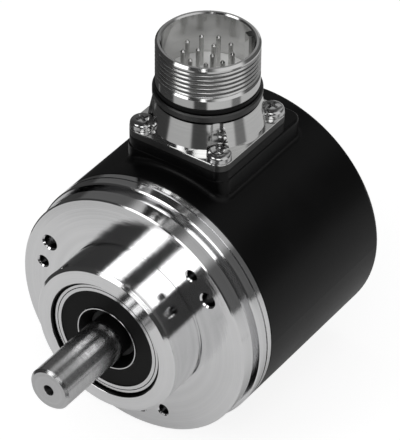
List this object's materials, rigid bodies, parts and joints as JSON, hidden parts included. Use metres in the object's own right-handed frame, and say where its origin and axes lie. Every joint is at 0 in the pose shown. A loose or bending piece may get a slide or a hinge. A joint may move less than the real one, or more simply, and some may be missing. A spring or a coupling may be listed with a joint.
{
  "type": "absolute rotary encoder",
  "caption": "Absolute rotary encoder: round black housing, turned clamping flange with pilot boss, ball-bearing shaft and a radial threaded multi-pin connector on a square plate",
  "frame": {"origin": "centre of the flange's mounting face, on the shaft axis, where the pilot boss starts", "axes": "the shaft points along -Y, the housing lies along +Y, the connector stands along +Z"},
  "size_m": [0.0596, 0.0814, 0.0863],
  "materials": {
    "turned_aluminium": "fine turned",
    "stainless_steel": "ground",
    "bearing_steel": "ground",
    "ball_steel": "polished",
    "spring_steel": "oiled",
    "cage_plastic": "moulded",
    "black_rubber": "matt",
    "black_coated_housing": "satin black coating",
    "black_steel_screws": "blackened",
    "plated_connector": "nickel plated, turned",
    "plated_screws": "nickel plated",
    "zinc_steel": "zinc plated",
    "plated_brass_pillars": "nickel plated",
    "insert_plastic": "moulded",
    "contact_metal": "gold plated",
    "circuit_board": "solder resist",
    "black_plastic": "moulded",
    "header_plastic": "moulded",
    "lead_plastic": "flat lead",
    "disc_glass": "polished",
    "clear_glass": "polished",
    "led_resin": "moulded"
  },
  "bodies": {
    "stator": {"mounting_flange": "turned_aluminium", "front_bearing_outer_ring": "bearing_steel", "front_bearing_seals": "black_rubber", "rear_bearing_outer_ring": "bearing_steel", "rear_bearing_seals": "black_rubber", "preload_washer": "spring_steel", "bore_retaining_ring": "spring_steel", "light_source_holder": "black_plastic", "light_source_lens": "clear_glass", "light_source_led": "led_resin", "light_source_screws": "zinc_steel", "scanning_reticle": "clear_glass", "sensor_chip": "black_plastic", "sensor_board": "circuit_board", "interface_board": "circuit_board", "interface_chips": "black_plastic", "front_pillars": "plated_brass_pillars", "middle_pillars": "plated_brass_pillars", "rear_pillars": "plated_brass_pillars", "housing_seal_ring": "black_rubber", "housing_shell": "black_coated_housing", "housing_screws": "black_steel_screws", "connector_gasket": "black_rubber", "connector_shell": "plated_connector", "connector_seal_ring": "black_rubber", "connector_insert": "insert_plastic", "contact_pins": "contact_metal", "solder_board": "circuit_board", "connector_screws": "plated_screws", "ribbon_header": "header_plastic", "ribbon_lead": "lead_plastic"},
    "rotor": {"shaft": "stainless_steel", "shaft_retaining_ring": "spring_steel", "front_bearing_inner_ring": "bearing_steel", "rear_bearing_inner_ring": "bearing_steel", "disc_hub": "turned_aluminium", "code_disc": "disc_glass", "disc_clamp_ring": "turned_aluminium", "disc_clamp_screws": "zinc_steel"},
    "front_cage": {"front_bearing_cage": "cage_plastic", "front_bearing_balls": "ball_steel"},
    "rear_cage": {"rear_bearing_cage": "cage_plastic", "rear_bearing_balls": "ball_steel"}
  },
  "joints": [
    {"name": "shaft_spin", "type": "hinge", "parent": "stator", "child": "rotor", "pos_m": [0, 0, 0], "axis": [0, 1, 0], "continuous": true},
    {"name": "front_cage_spin", "type": "hinge", "parent": "stator", "child": "front_cage", "pos_m": [0, -0.0055, 0], "axis": [0, 1, 0], "continuous": true},
    {"name": "rear_cage_spin", "type": "hinge", "parent": "stator", "child": "rear_cage", "pos_m": [0, 0.0085, 0], "axis": [0, 1, 0], "continuous": true}
  ],
  "couplings": [
    {"joint": "front_cage_spin", "follows": "shaft_spin", "ratio": 0.381},
    {"joint": "rear_cage_spin", "follows": "shaft_spin", "ratio": 0.381}
  ]
}
